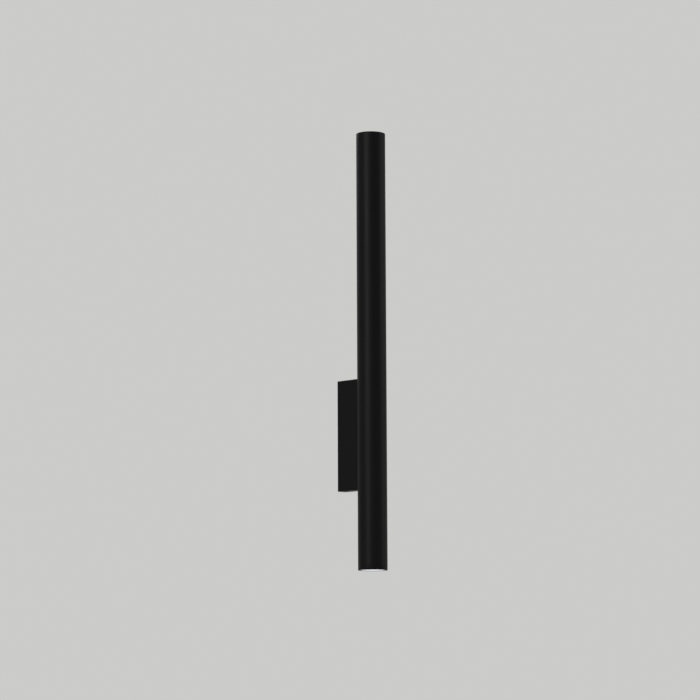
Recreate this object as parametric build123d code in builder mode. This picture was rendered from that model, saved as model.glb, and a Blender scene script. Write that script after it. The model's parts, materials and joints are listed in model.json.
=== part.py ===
from build123d import *
import os
from math import radians, sqrt, tan

# A wall light: a long slim tube stands off the wall on a narrow upright box and
# shines up and down from its two open ends. All sizes are in millimetres. +Z is
# up, the wall is the plane y = 0 and the room lies towards -Y. The origin is the
# centre of the face that meets the wall. A "distance" is measured out from the
# wall, and a "depth" is measured into the tube from the mouth at either end.

# The tube
tube_diameter = 40.0
tube_wall = 1.5
tube_length = 600.0
tube_standoff = 60.0  # the wall to the tube's axis
tube_edge = 0.3  # broken edges of the tube's ends

# The box between the tube and the wall
box_width = 15.0
box_height = 152.0
box_rise = 109.5  # the tube's lower end to the box's lower end
box_side_wall = 1.5
box_end_wall = 4.0
box_front_wall = 2.4  # at the thinnest place of its saddle
box_edge = 0.4  # rounding of the outer edges

# Clearances
coat_gap = 0.1  # between painted faces that a screw pulls together
slide_gap = 0.3  # between the bracket and the box that slides off it
plug_gap = 0.1  # between a bore and what is pushed into it
thread_gap = 0.05  # between a screw and its tapped hole
pass_gap = 0.2  # between a screw and the hole it passes through
lead_gap = 0.2  # between a lead and the hole it passes through
cut_past = 1.0  # how far a cut runs on past the face that it opens

# Screws
m3_radius = 1.5
m4_radius = 2.0
screw_tip = 0.2  # chamfer at a screw's tip over its radius
pan_head_ratio = 1.9  # pan head's radius over the thread's
pan_height_ratio = 1.3  # pan head's height over the thread's radius
pan_rounding = 0.6  # share of the pan head's height that is rounded
flat_head_ratio = 1.8  # countersunk head's radius over the thread's
flat_head_land = 0.2  # upright rim of a countersunk head
cross_width = 0.3  # the cross recess's arm over the head's radius
cross_reach = 1.1  # the cross recess's length over the head's radius
cross_depth = 0.9  # the cross recess's depth over the thread's radius
socket_ratio = 0.58  # hexagon socket's corner radius over the thread's
socket_depth = 1.6

# The bracket on the wall
bracket_thickness = 1.5
bracket_bend = 1.0  # inner radius of its two bends
tab_length = 16.0
tab_corner = 2.0
wall_slot_width = 4.5
wall_slot_length = 9.0
wall_slot_inset = 31.0  # from the end of the box to the slot's centre
cable_sleeve_radius = 2.8  # the way left for the mains cable's cores
cable_sleeve_wall = 0.9
cable_flange_width = 1.0
cable_flange_thickness = 1.4
earth_screw_height = 22.0
earth_clamp_side = 9.0
earth_clamp_thickness = 0.8
earth_clamp_fold = 1.6  # how far its two edges stand up

# The screws in the box
clamp_screw_distance = 9.0
clamp_tip_gap = 0.1
clamp_sink = 0.4
box_screw_inset = 19.0  # from the end of the box
washer_thickness = 0.8
washer_rim = 1.9  # the washer's width beyond its screw

# The mains connector in the box
terminal_height = -16.0  # its middle
terminal_pitch = 6.2
terminal_poles = 3
terminal_end = 0.7  # plastic beyond the outer poles
terminal_depth = 14.5
terminal_side_gap = 0.6
terminal_post_height = 11.0
terminal_post_radius = 3.0
terminal_ear_length = 7.0
terminal_ear_thickness = 3.0
terminal_screw_length = 9.0
terminal_edge = 0.4
entry_radius = 1.6
entry_offset = 2.0
release_width = 1.1
release_height = 3.2
spring_pocket_width = 7.6
spring_pocket_height = 4.8
spring_pocket_depth = 10.0
spring_wall = 0.8

# The strip inside the tube
strip_width = 12.0
strip_thickness = 2.5
strip_overhang = 12.0  # beyond the lower box screw and the driver's upper ear
lug_rise = 28.0  # above the leads' sleeve
lug_radius = 3.4
lug_thickness = 0.8
lug_barrel_radius = 1.6
lug_barrel_length = 6.0

# The leads
mains_lead_radius = 0.9
led_lead_radius = 0.8
bend_share = 0.45  # how much of the shorter run a bend may use at each end
lead_sleeve_radius = 3.2
lead_sleeve_wall = 0.9
lead_flange_width = 1.1
lead_flange_thickness = 1.2
lead_spread = 1.3  # sideways from the sleeve's axis to the live and neutral leads
lead_drop = 0.75  # down from the sleeve's axis to the live and neutral leads
lead_slack = 2.0  # the leads' straight runs beside the connector and the sleeve
mains_lead_turn = 11.0  # from the strip to where the live and neutral leads turn up
earth_lead_turn = 6.4  # from the strip to where the earth lead turns up
earth_lead_rise = 9.5
mains_lead_tail = 3.0  # what goes into a terminal or a barrel
lead_pair_spacing = 3.0
led_lead_run = 16.0  # the straight run out of the driver and into a heat sink
led_lead_slope = 32.0  # height over which the lower pair crosses the bore

# The driver
driver_length = 118.0
driver_rise = 46.0  # above the leads' sleeve
driver_bore_gap = 0.3
driver_wall = 1.2
driver_base = 1.6
driver_ear = 10.0
driver_edge = 0.8
driver_lip = 3.0
driver_rail = 2.5  # the board rests on it
board_thickness = 1.6
board_gap = 0.3
driver_entry = 6.0  # from the board to the leads' way in
driver_block_length = 9.0
driver_block_gap = 0.4
driver_block_height = 9.5
driver_block_width = 15.0
transformer_width = 15.0
transformer_height = 14.0
transformer_length = 18.0
transformer_flange = 2.0
capacitor_radius = 5.0
capacitor_height = 16.0
capacitor_spacing = 11.5
capacitor_inset = 30.0  # from the driver's upper end to the middle of the pair
filter_width = 13.0
filter_height = 11.0
filter_length = 15.0
filter_inset = 28.0  # from the driver's lower end to its middle
part_edge = 0.6

# The light module in each end, from the mouth inwards
ring_inset = 0.6
ring_length = 20.4
ring_neck = 4.8
ring_lip = 1.0  # the ring's thickness at the mouth
ring_steps = 8
ring_foot = 2.2  # width of the ring's foot, which holds the lens down
ring_edge = 0.3
cup_wall = 1.6
shoulder_gap = 0.1
seal_thickness = 0.5
seal_width = 1.5
lens_rim = 1.5
lens_height = 8.4
lens_gap = 0.3
lens_shoulder = 1.3
lens_foot_radius = 6.8
lens_bulge = 0.9  # how far the lens's side bows out from a straight cone
lens_pocket_radius = 4.8
lens_pocket_top = 3.8
lens_pocket_depth = 4.6
lens_seat_gap = 0.1
holder_height = 4.0
holder_gap = 0.2
holder_window = 5.2
holder_flare = 1.4
holder_screw_inset = 3.9
holder_screw_sink = 2.4
holder_screw_length = 5.0
chip_side = 13.5
chip_thickness = 1.0
chip_disc_radius = 4.6
chip_disc_thickness = 0.4
chip_gap = 0.1
floor_thickness = 8.0
fin_length = 30.0
fin_thickness = 1.5
fin_count = 10
core_radius = 5.5
led_lead_inset = 4.3  # from the heat sink's cup
led_lead_entry = 2.4
module_screw_length = 8.0
module_screw_sink = 0.2

# Places that follow from the sizes
tube_radius = tube_diameter / 2
bore_radius = tube_radius - tube_wall
tube_bottom = -box_height / 2 - box_rise
tube_top = tube_bottom + tube_length
box_inner_width = box_width - 2 * box_side_wall
box_inner_end = box_height / 2 - box_end_wall
saddle_radius = tube_radius + coat_gap
box_floor = tube_standoff - saddle_radius - box_front_wall
box_screw_heights = (box_screw_inset - box_height / 2, box_height / 2 - box_screw_inset)
strip_back = tube_standoff - sqrt((bore_radius - plug_gap) ** 2 - (strip_width / 2) ** 2)
strip_front = strip_back + strip_thickness
lead_sleeve_outer = lead_sleeve_radius + lead_sleeve_wall
cable_sleeve_outer = cable_sleeve_radius + cable_sleeve_wall
lead_height = terminal_height
lug_height = lead_height + lug_rise
driver_bottom = lead_height + driver_rise
driver_top = driver_bottom + driver_length
driver_back = strip_front + coat_gap
driver_reach = bore_radius - driver_bore_gap
driver_half_width = sqrt(driver_reach**2 - (tube_standoff - driver_back) ** 2)
driver_front = 2 * tube_standoff - driver_back
board_back = driver_back + driver_base + driver_rail
board_front = board_back + board_thickness
driver_entry_distance = board_front + driver_entry

ring_end = ring_inset + ring_length
lens_front = ring_end + seal_thickness
lens_back = lens_front + lens_height
holder_front = lens_back + lens_seat_gap
floor_front = holder_front + holder_height
floor_back = floor_front + floor_thickness
fins_end = floor_back + fin_length
module_radius = bore_radius - plug_gap
cup_radius = module_radius - cup_wall
mouth_radius = module_radius - ring_lip
aperture_radius = cup_radius - ring_foot
led_lead_offset = cup_radius - led_lead_inset
module_screw_depth = floor_front + floor_thickness / 2
ends = {"upper": (tube_top, -1), "lower": (tube_bottom, 1)}


def level(height):
    """A level plane at this height, centred on the tube's axis."""
    return Plane(origin=(0, -tube_standoff, height))


def facing_room(distance, x=0, height=0):
    """An upright plane at this distance from the wall, with its normal towards the room."""
    return Plane(origin=(x, -distance, height), x_dir=(1, 0, 0), z_dir=(0, -1, 0))


def facing_wall(distance, x=0, height=0):
    """An upright plane at this distance from the wall, with its normal towards the wall."""
    return Plane(origin=(x, -distance, height), x_dir=(-1, 0, 0), z_dir=(0, 1, 0))


def through_axis(plane):
    """The plane a turned piece is drawn on: x is its radius and y runs along its axis."""
    return Plane(origin=plane.origin, x_dir=plane.x_dir, z_dir=plane.x_dir.cross(plane.z_dir))


def axis_of(plane):
    return Axis(plane.origin, plane.z_dir)


def at(x, distance, height):
    return Vector(x, -distance, height)


def save(piece, name):
    piece.part.label = name
    export_step(piece.part, f"parts/{name}.step")


def pan_screws(seats, thread, length):
    """Cross-recessed screws: each head stands on its seat plane, and its shank goes below it."""
    head_radius = thread * pan_head_ratio
    head_height = thread * pan_height_ratio
    tip = thread * screw_tip
    with BuildPart() as screws:
        for seat in seats:
            with BuildSketch(through_axis(seat)) as outline:
                with BuildLine():
                    Polyline(
                        (0, -length),
                        (thread - tip, -length),
                        (thread, tip - length),
                        (thread, 0),
                        (head_radius, 0),
                        (head_radius, head_height),
                        (0, head_height),
                        close=True,
                    )
                make_face()
                rim = outline.vertices().group_by(Axis.Y)[-1].sort_by(Axis.X)[-1]
                fillet(rim, head_height * pan_rounding)
            revolve(axis=axis_of(seat))
            with BuildSketch(seat.offset(head_height)):
                Rectangle(head_radius * cross_reach, head_radius * cross_width)
                Rectangle(head_radius * cross_width, head_radius * cross_reach)
            extrude(amount=-thread * cross_depth, mode=Mode.SUBTRACT)
    return screws


def flat_screws(tops, thread, length):
    """Countersunk screws: each head's flat top lies in its plane."""
    head_radius = thread * flat_head_ratio
    tip = thread * screw_tip
    with BuildPart() as screws:
        for top in tops:
            with BuildSketch(through_axis(top)):
                with BuildLine():
                    Polyline(
                        (0, 0),
                        (head_radius, 0),
                        (head_radius, -flat_head_land),
                        (thread, thread - head_radius - flat_head_land),
                        (thread, tip - length),
                        (thread - tip, -length),
                        (0, -length),
                        close=True,
                    )
                make_face()
            revolve(axis=axis_of(top))
            with BuildSketch(top):
                Rectangle(head_radius * cross_reach, head_radius * cross_width)
                Rectangle(head_radius * cross_width, head_radius * cross_reach)
            extrude(amount=-thread * cross_depth, mode=Mode.SUBTRACT)
    return screws


def leads(routes, radius):
    """One core along each route, with every corner rounded as widely as its two runs allow."""
    with BuildPart() as cores:
        for stops in routes:
            bends = []
            for before, corner, after in zip(stops, stops[1:], stops[2:]):
                arriving = corner - before
                leaving = after - corner
                half_turn = radians(arriving.get_angle(leaving)) / 2
                shorter = min(arriving.length, leaving.length)
                bends.append(bend_share * shorter / tan(half_turn))
            with BuildLine() as path:
                FilletPolyline(*stops, radius=bends)
            with BuildSketch(Plane(origin=stops[0], z_dir=stops[1] - stops[0])):
                Circle(radius)
            sweep(path=path.wires()[0])
    return cores


os.makedirs("parts", exist_ok=True)

# The tube, with holes at its back for the box screws, the leads and the module screws
with BuildPart() as tube_body:
    with BuildSketch(level(tube_bottom)):
        Circle(tube_radius)
        Circle(bore_radius, mode=Mode.SUBTRACT)
    extrude(amount=tube_length)
    chamfer(tube_body.edges().filter_by(GeomType.CIRCLE), tube_edge)
    for height in box_screw_heights:
        with BuildSketch(facing_wall(tube_standoff, height=height)):
            Circle(m4_radius + pass_gap)
        extrude(amount=tube_radius + cut_past, mode=Mode.SUBTRACT)
    with BuildSketch(facing_wall(tube_standoff, height=lead_height)):
        Circle(lead_sleeve_outer + plug_gap)
    extrude(amount=tube_radius + cut_past, mode=Mode.SUBTRACT)
    for mouth, inward in ends.values():
        screw_height = mouth + inward * module_screw_depth
        head_top = facing_wall(tube_standoff - tube_radius + module_screw_sink, height=screw_height)
        with BuildSketch(facing_wall(tube_standoff, height=screw_height)):
            Circle(m3_radius + pass_gap)
        extrude(amount=tube_radius + cut_past, mode=Mode.SUBTRACT)
        with BuildSketch(through_axis(head_top)):
            with BuildLine():
                Polyline(
                    (0, cut_past),
                    (m3_radius * flat_head_ratio + pass_gap, cut_past),
                    (m3_radius * flat_head_ratio + pass_gap, -flat_head_land),
                    (m3_radius + pass_gap, m3_radius * (1 - flat_head_ratio) - flat_head_land),
                    (0, m3_radius * (1 - flat_head_ratio) - flat_head_land),
                    close=True,
                )
            make_face()
        revolve(axis=axis_of(head_top), mode=Mode.SUBTRACT)
save(tube_body, "tube_body")

# The box: open towards the wall, with a saddle towards the tube
with BuildPart() as mount_box:
    with BuildSketch(Plane.XY.offset(-box_height / 2)):
        Rectangle(box_width, tube_standoff, align=(Align.CENTER, Align.MAX))
    extrude(amount=box_height)
    fillet(mount_box.edges().filter_by(Axis.Y), box_edge)
    fillet(mount_box.faces().sort_by(Axis.Y)[-1].edges(), box_edge)
    with BuildSketch(level(-box_height / 2 - cut_past)):
        Circle(saddle_radius)
    extrude(amount=box_height + 2 * cut_past, mode=Mode.SUBTRACT)
    with BuildSketch(facing_wall(box_floor)):
        Rectangle(box_inner_width, 2 * box_inner_end)
    extrude(amount=box_floor + cut_past, mode=Mode.SUBTRACT)
    terminal_half = terminal_pitch * terminal_poles / 2 + terminal_end
    post_heights = (
        terminal_height - terminal_half - terminal_ear_length / 2,
        terminal_height + terminal_half + terminal_ear_length / 2,
    )
    for height in post_heights:
        with BuildSketch(facing_wall(box_floor, height=height)):
            Circle(terminal_post_radius)
        extrude(amount=terminal_post_height)
        with BuildSketch(facing_wall(box_floor, height=height)):
            Circle(m3_radius + thread_gap)
        extrude(amount=terminal_post_height, mode=Mode.SUBTRACT)
    for height in box_screw_heights:
        with BuildSketch(facing_wall(tube_standoff, height=height)):
            Circle(m4_radius + pass_gap)
        extrude(amount=tube_standoff - box_floor + cut_past, mode=Mode.SUBTRACT)
    with BuildSketch(facing_wall(tube_standoff, height=lead_height)):
        Circle(lead_sleeve_outer + plug_gap)
    extrude(amount=tube_standoff - box_floor + cut_past, mode=Mode.SUBTRACT)
    with BuildSketch(Plane(origin=at(0, clamp_screw_distance, -box_height / 2 - cut_past))):
        Circle(m4_radius + thread_gap)
    extrude(amount=box_height + 2 * cut_past, mode=Mode.SUBTRACT)
save(mount_box, "mount_box")

# The bracket: a strip on the wall with a tab bent out at each end
bracket_width = box_inner_width - 2 * slide_gap
bracket_end = box_inner_end - slide_gap
with BuildPart() as wall_bracket:
    with BuildSketch(Plane.YZ) as side_view:
        with BuildLine():
            Polyline(
                (0, -bracket_end),
                (0, bracket_end),
                (-tab_length, bracket_end),
                (-tab_length, bracket_end - bracket_thickness),
                (-bracket_thickness, bracket_end - bracket_thickness),
                (-bracket_thickness, bracket_thickness - bracket_end),
                (-tab_length, bracket_thickness - bracket_end),
                (-tab_length, -bracket_end),
                close=True,
            )
        make_face()
        fillet(side_view.vertices().group_by(Axis.X)[-1], bracket_bend + bracket_thickness)
        fillet(side_view.vertices().filter_by_position(Axis.X, -bracket_thickness, -bracket_thickness),
               bracket_bend)
    extrude(amount=bracket_width / 2, both=True)
    fillet(wall_bracket.edges().group_by(Axis.Y)[0].filter_by(Axis.Z), tab_corner)
    for height in (wall_slot_inset - box_height / 2, box_height / 2 - wall_slot_inset):
        with BuildSketch(facing_room(0, height=height)):
            SlotOverall(wall_slot_length, wall_slot_width, rotation=90)
        extrude(amount=bracket_thickness, mode=Mode.SUBTRACT)
    with BuildSketch(facing_room(0, height=terminal_height)):
        Circle(cable_sleeve_outer + plug_gap)
    extrude(amount=bracket_thickness, mode=Mode.SUBTRACT)
    with BuildSketch(facing_room(0, height=earth_screw_height)):
        Circle(m3_radius + thread_gap)
    extrude(amount=bracket_thickness, mode=Mode.SUBTRACT)
save(wall_bracket, "wall_bracket")

# The sleeve in the bracket's cable hole
with BuildPart() as cable_bushing:
    with BuildSketch(facing_room(0, height=terminal_height)):
        Circle(cable_sleeve_outer)
    extrude(amount=bracket_thickness)
    with BuildSketch(facing_room(bracket_thickness, height=terminal_height)):
        Circle(cable_sleeve_outer + cable_flange_width)
    extrude(amount=cable_flange_thickness)
    fillet(cable_bushing.edges().sort_by(Axis.Y)[0], cable_flange_thickness / 2)
    with BuildSketch(facing_room(0, height=terminal_height)):
        Circle(cable_sleeve_radius)
    extrude(amount=bracket_thickness + cable_flange_thickness, mode=Mode.SUBTRACT)
save(cable_bushing, "cable_bushing")

# The earth point on the bracket: a folded clamp plate under a screw
with BuildPart() as earth_clamp:
    with BuildSketch(facing_room(bracket_thickness, height=earth_screw_height)):
        RectangleRounded(earth_clamp_side, earth_clamp_side, part_edge)
    extrude(amount=earth_clamp_thickness + earth_clamp_fold)
    with BuildSketch(facing_room(bracket_thickness + earth_clamp_thickness, height=earth_screw_height)):
        Rectangle(earth_clamp_side + cut_past, earth_clamp_side - 2 * earth_clamp_thickness)
    extrude(amount=earth_clamp_fold, mode=Mode.SUBTRACT)
    with BuildSketch(facing_room(bracket_thickness, height=earth_screw_height)):
        Circle(m3_radius + pass_gap)
    extrude(amount=earth_clamp_thickness, mode=Mode.SUBTRACT)
save(earth_clamp, "earth_clamp")

earth_seat = bracket_thickness + earth_clamp_thickness
earth_screw = pan_screws([facing_room(earth_seat, height=earth_screw_height)], m3_radius, earth_seat)
save(earth_screw, "earth_screw")

# The set screws in the box's end walls grip the bracket's tabs
with BuildPart() as clamp_screws:
    for side in (-1, 1):
        top = Plane(
            origin=at(0, clamp_screw_distance, side * (box_height / 2 - clamp_sink)),
            z_dir=(0, 0, side),
        )
        length = box_height / 2 - clamp_sink - bracket_end - clamp_tip_gap
        with BuildSketch(top):
            Circle(m4_radius)
        extrude(amount=-length)
        with BuildSketch(top):
            RegularPolygon(m4_radius * socket_ratio, 6)
        extrude(amount=-socket_depth, mode=Mode.SUBTRACT)
save(clamp_screws, "clamp_screws")

# The screws and washers that pull the box, the tube and the strip together
with BuildPart() as box_screw_washers:
    for height in box_screw_heights:
        with BuildSketch(facing_wall(box_floor, height=height)):
            Circle(m4_radius + washer_rim)
            Circle(m4_radius + pass_gap, mode=Mode.SUBTRACT)
        extrude(amount=washer_thickness)
save(box_screw_washers, "box_screw_washers")

box_screws = pan_screws(
    [facing_wall(box_floor - washer_thickness, height=height) for height in box_screw_heights],
    m4_radius,
    strip_front - box_floor + washer_thickness,
)
save(box_screws, "box_screws")

# The mains connector: push-in poles one above the other, held by an ear at each end
terminal_front = box_floor - terminal_post_height
pole_heights = [
    terminal_height + terminal_pitch * (pole - (terminal_poles - 1) / 2)
    for pole in range(terminal_poles)
]
terminal_width = box_inner_width - 2 * terminal_side_gap
with BuildPart() as terminal_block:
    with BuildSketch(facing_wall(terminal_front, height=terminal_height)):
        Rectangle(terminal_width, 2 * terminal_half)
    extrude(amount=terminal_depth)
    fillet(terminal_block.edges().filter_by(Axis.Y), terminal_edge)
    fillet(terminal_block.faces().sort_by(Axis.Y)[-1].edges(), terminal_edge)
    with BuildSketch(facing_wall(terminal_front, height=terminal_height)):
        SlotOverall(2 * (terminal_half + terminal_ear_length), 2 * terminal_post_radius, rotation=90)
    extrude(amount=terminal_ear_thickness)
    for height in pole_heights:
        with BuildSketch(facing_wall(terminal_front, height=height)):
            Rectangle(spring_pocket_width, spring_pocket_height)
        extrude(amount=spring_pocket_depth, mode=Mode.SUBTRACT)
        with BuildSketch(facing_wall(terminal_front, height=height)):
            with Locations((entry_offset, 0)):
                Circle(entry_radius)
            with Locations((-entry_offset, 0)):
                Rectangle(release_width, release_height)
        extrude(amount=terminal_depth, mode=Mode.SUBTRACT)
    for height in post_heights:
        with BuildSketch(facing_wall(terminal_front, height=height)):
            Circle(m3_radius + pass_gap)
        extrude(amount=terminal_ear_thickness, mode=Mode.SUBTRACT)
save(terminal_block, "terminal_block")

# One spring cage in each pole, open to the wires on both sides
with BuildPart() as terminal_clamps:
    for height in pole_heights:
        with BuildSketch(facing_wall(terminal_front + coat_gap, height=height)):
            Rectangle(spring_pocket_width - 2 * coat_gap, spring_pocket_height - 2 * coat_gap)
            Rectangle(
                spring_pocket_width - 2 * (coat_gap + spring_wall),
                spring_pocket_height - 2 * (coat_gap + spring_wall),
                mode=Mode.SUBTRACT,
            )
        extrude(amount=spring_pocket_depth)
save(terminal_clamps, "terminal_clamps")

terminal_screws = pan_screws(
    [facing_wall(terminal_front - terminal_ear_thickness, height=height) for height in post_heights],
    m3_radius,
    terminal_screw_length,
)
save(terminal_screws, "terminal_screws")

# The sleeve that takes the leads through the box, the tube and the strip
with BuildPart() as lead_bushing:
    with BuildSketch(facing_room(box_floor, height=lead_height)):
        Circle(lead_sleeve_outer)
    extrude(amount=strip_front - box_floor)
    with BuildSketch(facing_room(box_floor, height=lead_height)):
        Circle(lead_sleeve_outer + lead_flange_width)
    extrude(amount=-lead_flange_thickness)
    fillet(lead_bushing.edges().sort_by(Axis.Y)[-1], lead_flange_thickness / 2)
    with BuildSketch(facing_room(box_floor - lead_flange_thickness, height=lead_height)):
        Circle(lead_sleeve_radius)
    extrude(amount=strip_front - box_floor + lead_flange_thickness, mode=Mode.SUBTRACT)
save(lead_bushing, "lead_bushing")

# The tapped strip against the back of the bore
strip_bottom = box_screw_heights[0] - strip_overhang
strip_top = driver_top + driver_ear + strip_overhang / 2
ear_heights = (driver_bottom - driver_ear / 2, driver_top + driver_ear / 2)
with BuildPart() as spine_strip:
    with BuildSketch(facing_room(strip_back, height=(strip_top + strip_bottom) / 2)):
        RectangleRounded(strip_width, strip_top - strip_bottom, tab_corner)
    extrude(amount=strip_thickness)
    for height in box_screw_heights:
        with BuildSketch(facing_room(strip_back, height=height)):
            Circle(m4_radius + thread_gap)
        extrude(amount=strip_thickness, mode=Mode.SUBTRACT)
    for height in (*ear_heights, lug_height):
        with BuildSketch(facing_room(strip_back, height=height)):
            Circle(m3_radius + thread_gap)
        extrude(amount=strip_thickness, mode=Mode.SUBTRACT)
    with BuildSketch(facing_room(strip_back, height=lead_height)):
        Circle(lead_sleeve_outer + plug_gap)
    extrude(amount=strip_thickness, mode=Mode.SUBTRACT)
save(spine_strip, "spine_strip")

# The earth lead's lug: a flat eye with a barrel that hangs down from it
barrel_distance = strip_front + lug_barrel_radius
barrel_bottom = lug_height - m3_radius * pan_head_ratio - pass_gap - lug_barrel_length
with BuildPart() as earth_lug:
    with BuildSketch(facing_room(strip_front, height=lug_height)):
        Circle(lug_radius)
        with Locations((0, -lug_radius)):
            Rectangle(2 * lug_barrel_radius, 2 * lug_radius)
        Circle(m3_radius + pass_gap, mode=Mode.SUBTRACT)
    extrude(amount=lug_thickness)
    with BuildSketch(Plane(origin=at(0, barrel_distance, barrel_bottom))):
        Circle(lug_barrel_radius)
    extrude(amount=lug_barrel_length)
    with BuildSketch(Plane(origin=at(0, barrel_distance, barrel_bottom))):
        Circle(mains_lead_radius + lead_gap)
    extrude(amount=mains_lead_tail + lead_gap, mode=Mode.SUBTRACT)
save(earth_lug, "earth_lug")

lug_screw_seat = facing_room(strip_front + lug_thickness, height=lug_height)
earth_lug_screw = pan_screws([lug_screw_seat], m3_radius, strip_thickness + lug_thickness)
save(earth_lug_screw, "earth_lug_screw")

# The driver's case: a tray that opens towards the room, with an ear at each end
driver_middle = (driver_bottom + driver_top) / 2
cover_back = driver_front - driver_wall
mains_ways = [(side * lead_pair_spacing, 0) for side in (-1, 1)]
led_ways = [(place * lead_pair_spacing, 0) for place in (-2, -1, 1, 2)]
driver_ways = [(driver_bottom, mains_ways, mains_lead_radius), (driver_top, led_ways, led_lead_radius)]
with BuildPart() as driver_case:
    with BuildSketch(facing_room(driver_back, height=driver_middle)):
        Rectangle(2 * driver_half_width, driver_length)
    extrude(amount=cover_back - coat_gap - driver_back)
    fillet(driver_case.edges().filter_by(Axis.Z), driver_edge)
    with BuildSketch(facing_room(driver_back + driver_base, height=driver_middle)):
        Rectangle(2 * (driver_half_width - driver_wall), driver_length - 2 * driver_wall)
    extrude(amount=driver_front, mode=Mode.SUBTRACT)
    with BuildSketch(facing_room(driver_back + driver_base, height=driver_middle)):
        with Locations(
            (driver_wall + driver_rail / 2 - driver_half_width, 0),
            (driver_half_width - driver_wall - driver_rail / 2, 0),
        ):
            Rectangle(driver_rail, driver_length - 2 * driver_wall)
    extrude(amount=driver_rail)
    with BuildSketch(facing_room(driver_back, height=driver_middle)):
        SlotOverall(driver_length + 2 * driver_ear, strip_width, rotation=90)
    extrude(amount=driver_base)
    for height in ear_heights:
        with BuildSketch(facing_room(driver_back, height=height)):
            Circle(m3_radius + pass_gap)
        extrude(amount=driver_base, mode=Mode.SUBTRACT)
    for height, places, radius in driver_ways:
        with BuildSketch(Plane(origin=at(0, driver_entry_distance, height - driver_wall - cut_past))):
            with Locations(*places):
                Circle(radius + lead_gap)
        extrude(amount=2 * (driver_wall + cut_past), mode=Mode.SUBTRACT)
save(driver_case, "driver_case")

with BuildPart() as driver_cover:
    with BuildSketch(facing_room(cover_back, height=driver_middle)):
        RectangleRounded(2 * driver_half_width, driver_length, driver_edge)
    extrude(amount=driver_wall)
    fillet(driver_cover.faces().sort_by(Axis.Y)[0].edges(), driver_wall / 2)
    inner_half_width = driver_half_width - driver_wall - coat_gap
    inner_length = driver_length - 2 * (driver_wall + coat_gap)
    with BuildSketch(facing_room(cover_back, height=driver_middle)):
        Rectangle(2 * inner_half_width, inner_length)
        Rectangle(2 * (inner_half_width - driver_wall), inner_length - 2 * driver_wall, mode=Mode.SUBTRACT)
    extrude(amount=-driver_lip)
save(driver_cover, "driver_cover")

driver_screws = pan_screws(
    [facing_room(driver_back + driver_base, height=height) for height in ear_heights],
    m3_radius,
    driver_back + driver_base - strip_back,
)
save(driver_screws, "driver_screws")

# The driver's board on the case's two rails, and the parts that stand on it: the
# filter near its lower end, the capacitors near its upper end, and the transformer
# midway between them
filter_middle = driver_bottom + filter_inset
capacitor_middle = driver_top - capacitor_inset
transformer_middle = (filter_middle + capacitor_middle) / 2
with BuildPart() as driver_board:
    with BuildSketch(facing_room(board_back, height=driver_middle)):
        Rectangle(
            2 * (driver_half_width - driver_wall - board_gap),
            driver_length - 2 * (driver_wall + board_gap),
        )
    extrude(amount=board_thickness)
save(driver_board, "driver_board")

with BuildPart() as driver_transformer:
    with BuildSketch(facing_room(board_front, height=transformer_middle)):
        RectangleRounded(transformer_width, transformer_length, part_edge)
    extrude(amount=transformer_height)
    waist_height = transformer_height - 2 * transformer_flange
    with BuildSketch(facing_room(board_front + transformer_flange, height=transformer_middle)):
        Rectangle(transformer_width + cut_past, transformer_length + cut_past)
        RectangleRounded(
            transformer_width - 2 * transformer_flange,
            transformer_length - 2 * transformer_flange,
            transformer_flange,
            mode=Mode.SUBTRACT,
        )
    extrude(amount=waist_height, mode=Mode.SUBTRACT)
save(driver_transformer, "driver_transformer")

with BuildPart() as driver_capacitors:
    for side in (-1, 1):
        height = capacitor_middle + side * capacitor_spacing / 2
        with BuildSketch(facing_room(board_front, height=height)):
            Circle(capacitor_radius)
        extrude(amount=capacitor_height)
    fillet(driver_capacitors.faces().group_by(Axis.Y)[0].edges(), part_edge)
save(driver_capacitors, "driver_capacitors")

with BuildPart() as driver_filter:
    with BuildSketch(facing_room(board_front, height=filter_middle)):
        RectangleRounded(filter_width, filter_length, part_edge)
    extrude(amount=filter_height)
    fillet(driver_filter.faces().sort_by(Axis.Y)[0].edges(), part_edge)
save(driver_filter, "driver_filter")

# A terminal at each end of the board, with a socket for every lead
block_inset = driver_wall + driver_block_gap
with BuildPart() as driver_terminals:
    for (height, places, radius), inward in zip(driver_ways, (1, -1)):
        near_end = Plane(
            origin=at(0, driver_entry_distance, height + inward * block_inset),
            x_dir=(1, 0, 0),
            z_dir=(0, 0, inward),
        )
        block_middle = height + inward * (block_inset + driver_block_length / 2)
        with BuildSketch(facing_room(board_front, height=block_middle)):
            Rectangle(driver_block_width, driver_block_length)
        extrude(amount=driver_block_height)
        with BuildSketch(near_end):
            with Locations(*places):
                Circle(radius + lead_gap)
        extrude(amount=mains_lead_tail + lead_gap, mode=Mode.SUBTRACT)
save(driver_terminals, "driver_terminals")

# The mains leads: from the connector, through the sleeve, to the driver and the lug
cage_stop = terminal_front - spring_pocket_depth / 2
connector_exit = terminal_front + lead_slack
sleeve_entry = box_floor - lead_flange_thickness - lead_slack
core_height = lead_height - lead_drop
mains_turn = strip_front + mains_lead_turn
for name, pole, side in (("live_lead", 0, -1), ("neutral_lead", 1, 1)):
    lead = leads(
        [
            [
                at(0, cage_stop, pole_heights[pole]),
                at(0, connector_exit, pole_heights[pole]),
                at(side * lead_spread, sleeve_entry, core_height),
                at(side * lead_spread, mains_turn, core_height),
                at(side * lead_pair_spacing, driver_entry_distance, driver_bottom - led_lead_run),
                at(side * lead_pair_spacing, driver_entry_distance,
                   driver_bottom + block_inset + mains_lead_tail),
            ]
        ],
        mains_lead_radius,
    )
    save(lead, name)

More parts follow.
